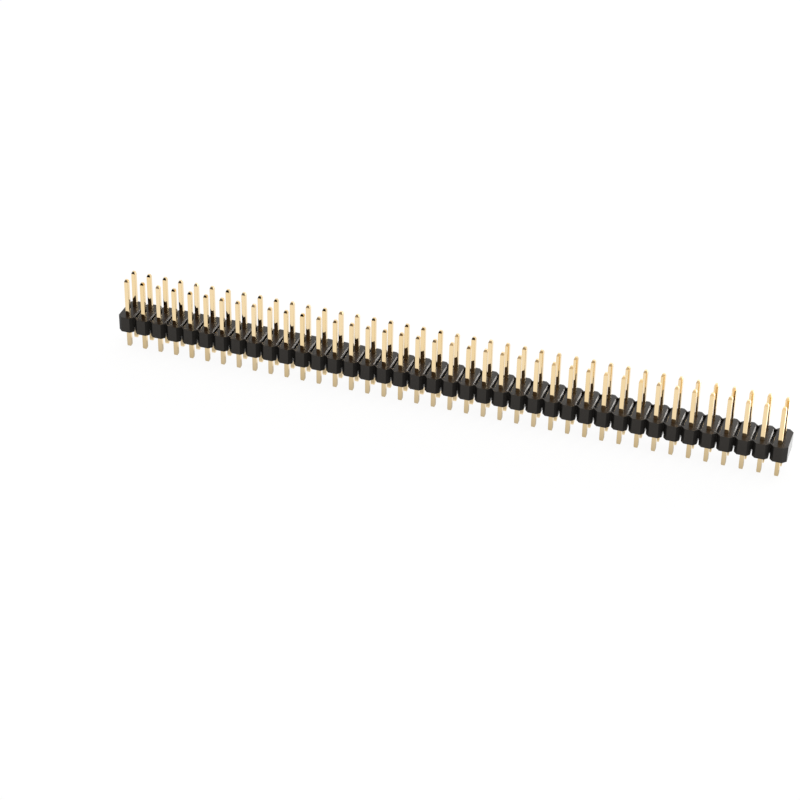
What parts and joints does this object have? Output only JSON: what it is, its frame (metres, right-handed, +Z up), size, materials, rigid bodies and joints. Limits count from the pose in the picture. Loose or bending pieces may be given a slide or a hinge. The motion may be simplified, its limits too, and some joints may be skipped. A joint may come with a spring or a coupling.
{
  "type": "pin header strip",
  "caption": "Straight dual-row pin header: square pins pressed through a black snap-apart insulator strip, with mating pins above it and solder tails below.",
  "frame": {"origin": "middle of the strip in plan, in the plane of the solder tail tips that the part stands on", "axes": "+X along the strip, +Y across it from the front row to the back row, +Z up along the pins towards the mating ends"},
  "size_m": [0.1016, 0.005, 0.0115],
  "materials": {
    "insulator_plastic": "semi-gloss moulded",
    "gold_flash_brass": "bright gold-flashed"
  },
  "bodies": {
    "root": {"insulator": "insulator_plastic", "pin_column_01": "gold_flash_brass", "pin_column_02": "gold_flash_brass", "pin_column_03": "gold_flash_brass", "pin_column_04": "gold_flash_brass", "pin_column_05": "gold_flash_brass", "pin_column_06": "gold_flash_brass", "pin_column_07": "gold_flash_brass", "pin_column_08": "gold_flash_brass", "pin_column_09": "gold_flash_brass", "pin_column_10": "gold_flash_brass", "pin_column_11": "gold_flash_brass", "pin_column_12": "gold_flash_brass", "pin_column_13": "gold_flash_brass", "pin_column_14": "gold_flash_brass", "pin_column_15": "gold_flash_brass", "pin_column_16": "gold_flash_brass", "pin_column_17": "gold_flash_brass", "pin_column_18": "gold_flash_brass", "pin_column_19": "gold_flash_brass", "pin_column_20": "gold_flash_brass", "pin_column_21": "gold_flash_brass", "pin_column_22": "gold_flash_brass", "pin_column_23": "gold_flash_brass", "pin_column_24": "gold_flash_brass", "pin_column_25": "gold_flash_brass", "pin_column_26": "gold_flash_brass", "pin_column_27": "gold_flash_brass", "pin_column_28": "gold_flash_brass", "pin_column_29": "gold_flash_brass", "pin_column_30": "gold_flash_brass", "pin_column_31": "gold_flash_brass", "pin_column_32": "gold_flash_brass", "pin_column_33": "gold_flash_brass", "pin_column_34": "gold_flash_brass", "pin_column_35": "gold_flash_brass", "pin_column_36": "gold_flash_brass", "pin_column_37": "gold_flash_brass", "pin_column_38": "gold_flash_brass", "pin_column_39": "gold_flash_brass", "pin_column_40": "gold_flash_brass"}
  },
  "joints": []
}
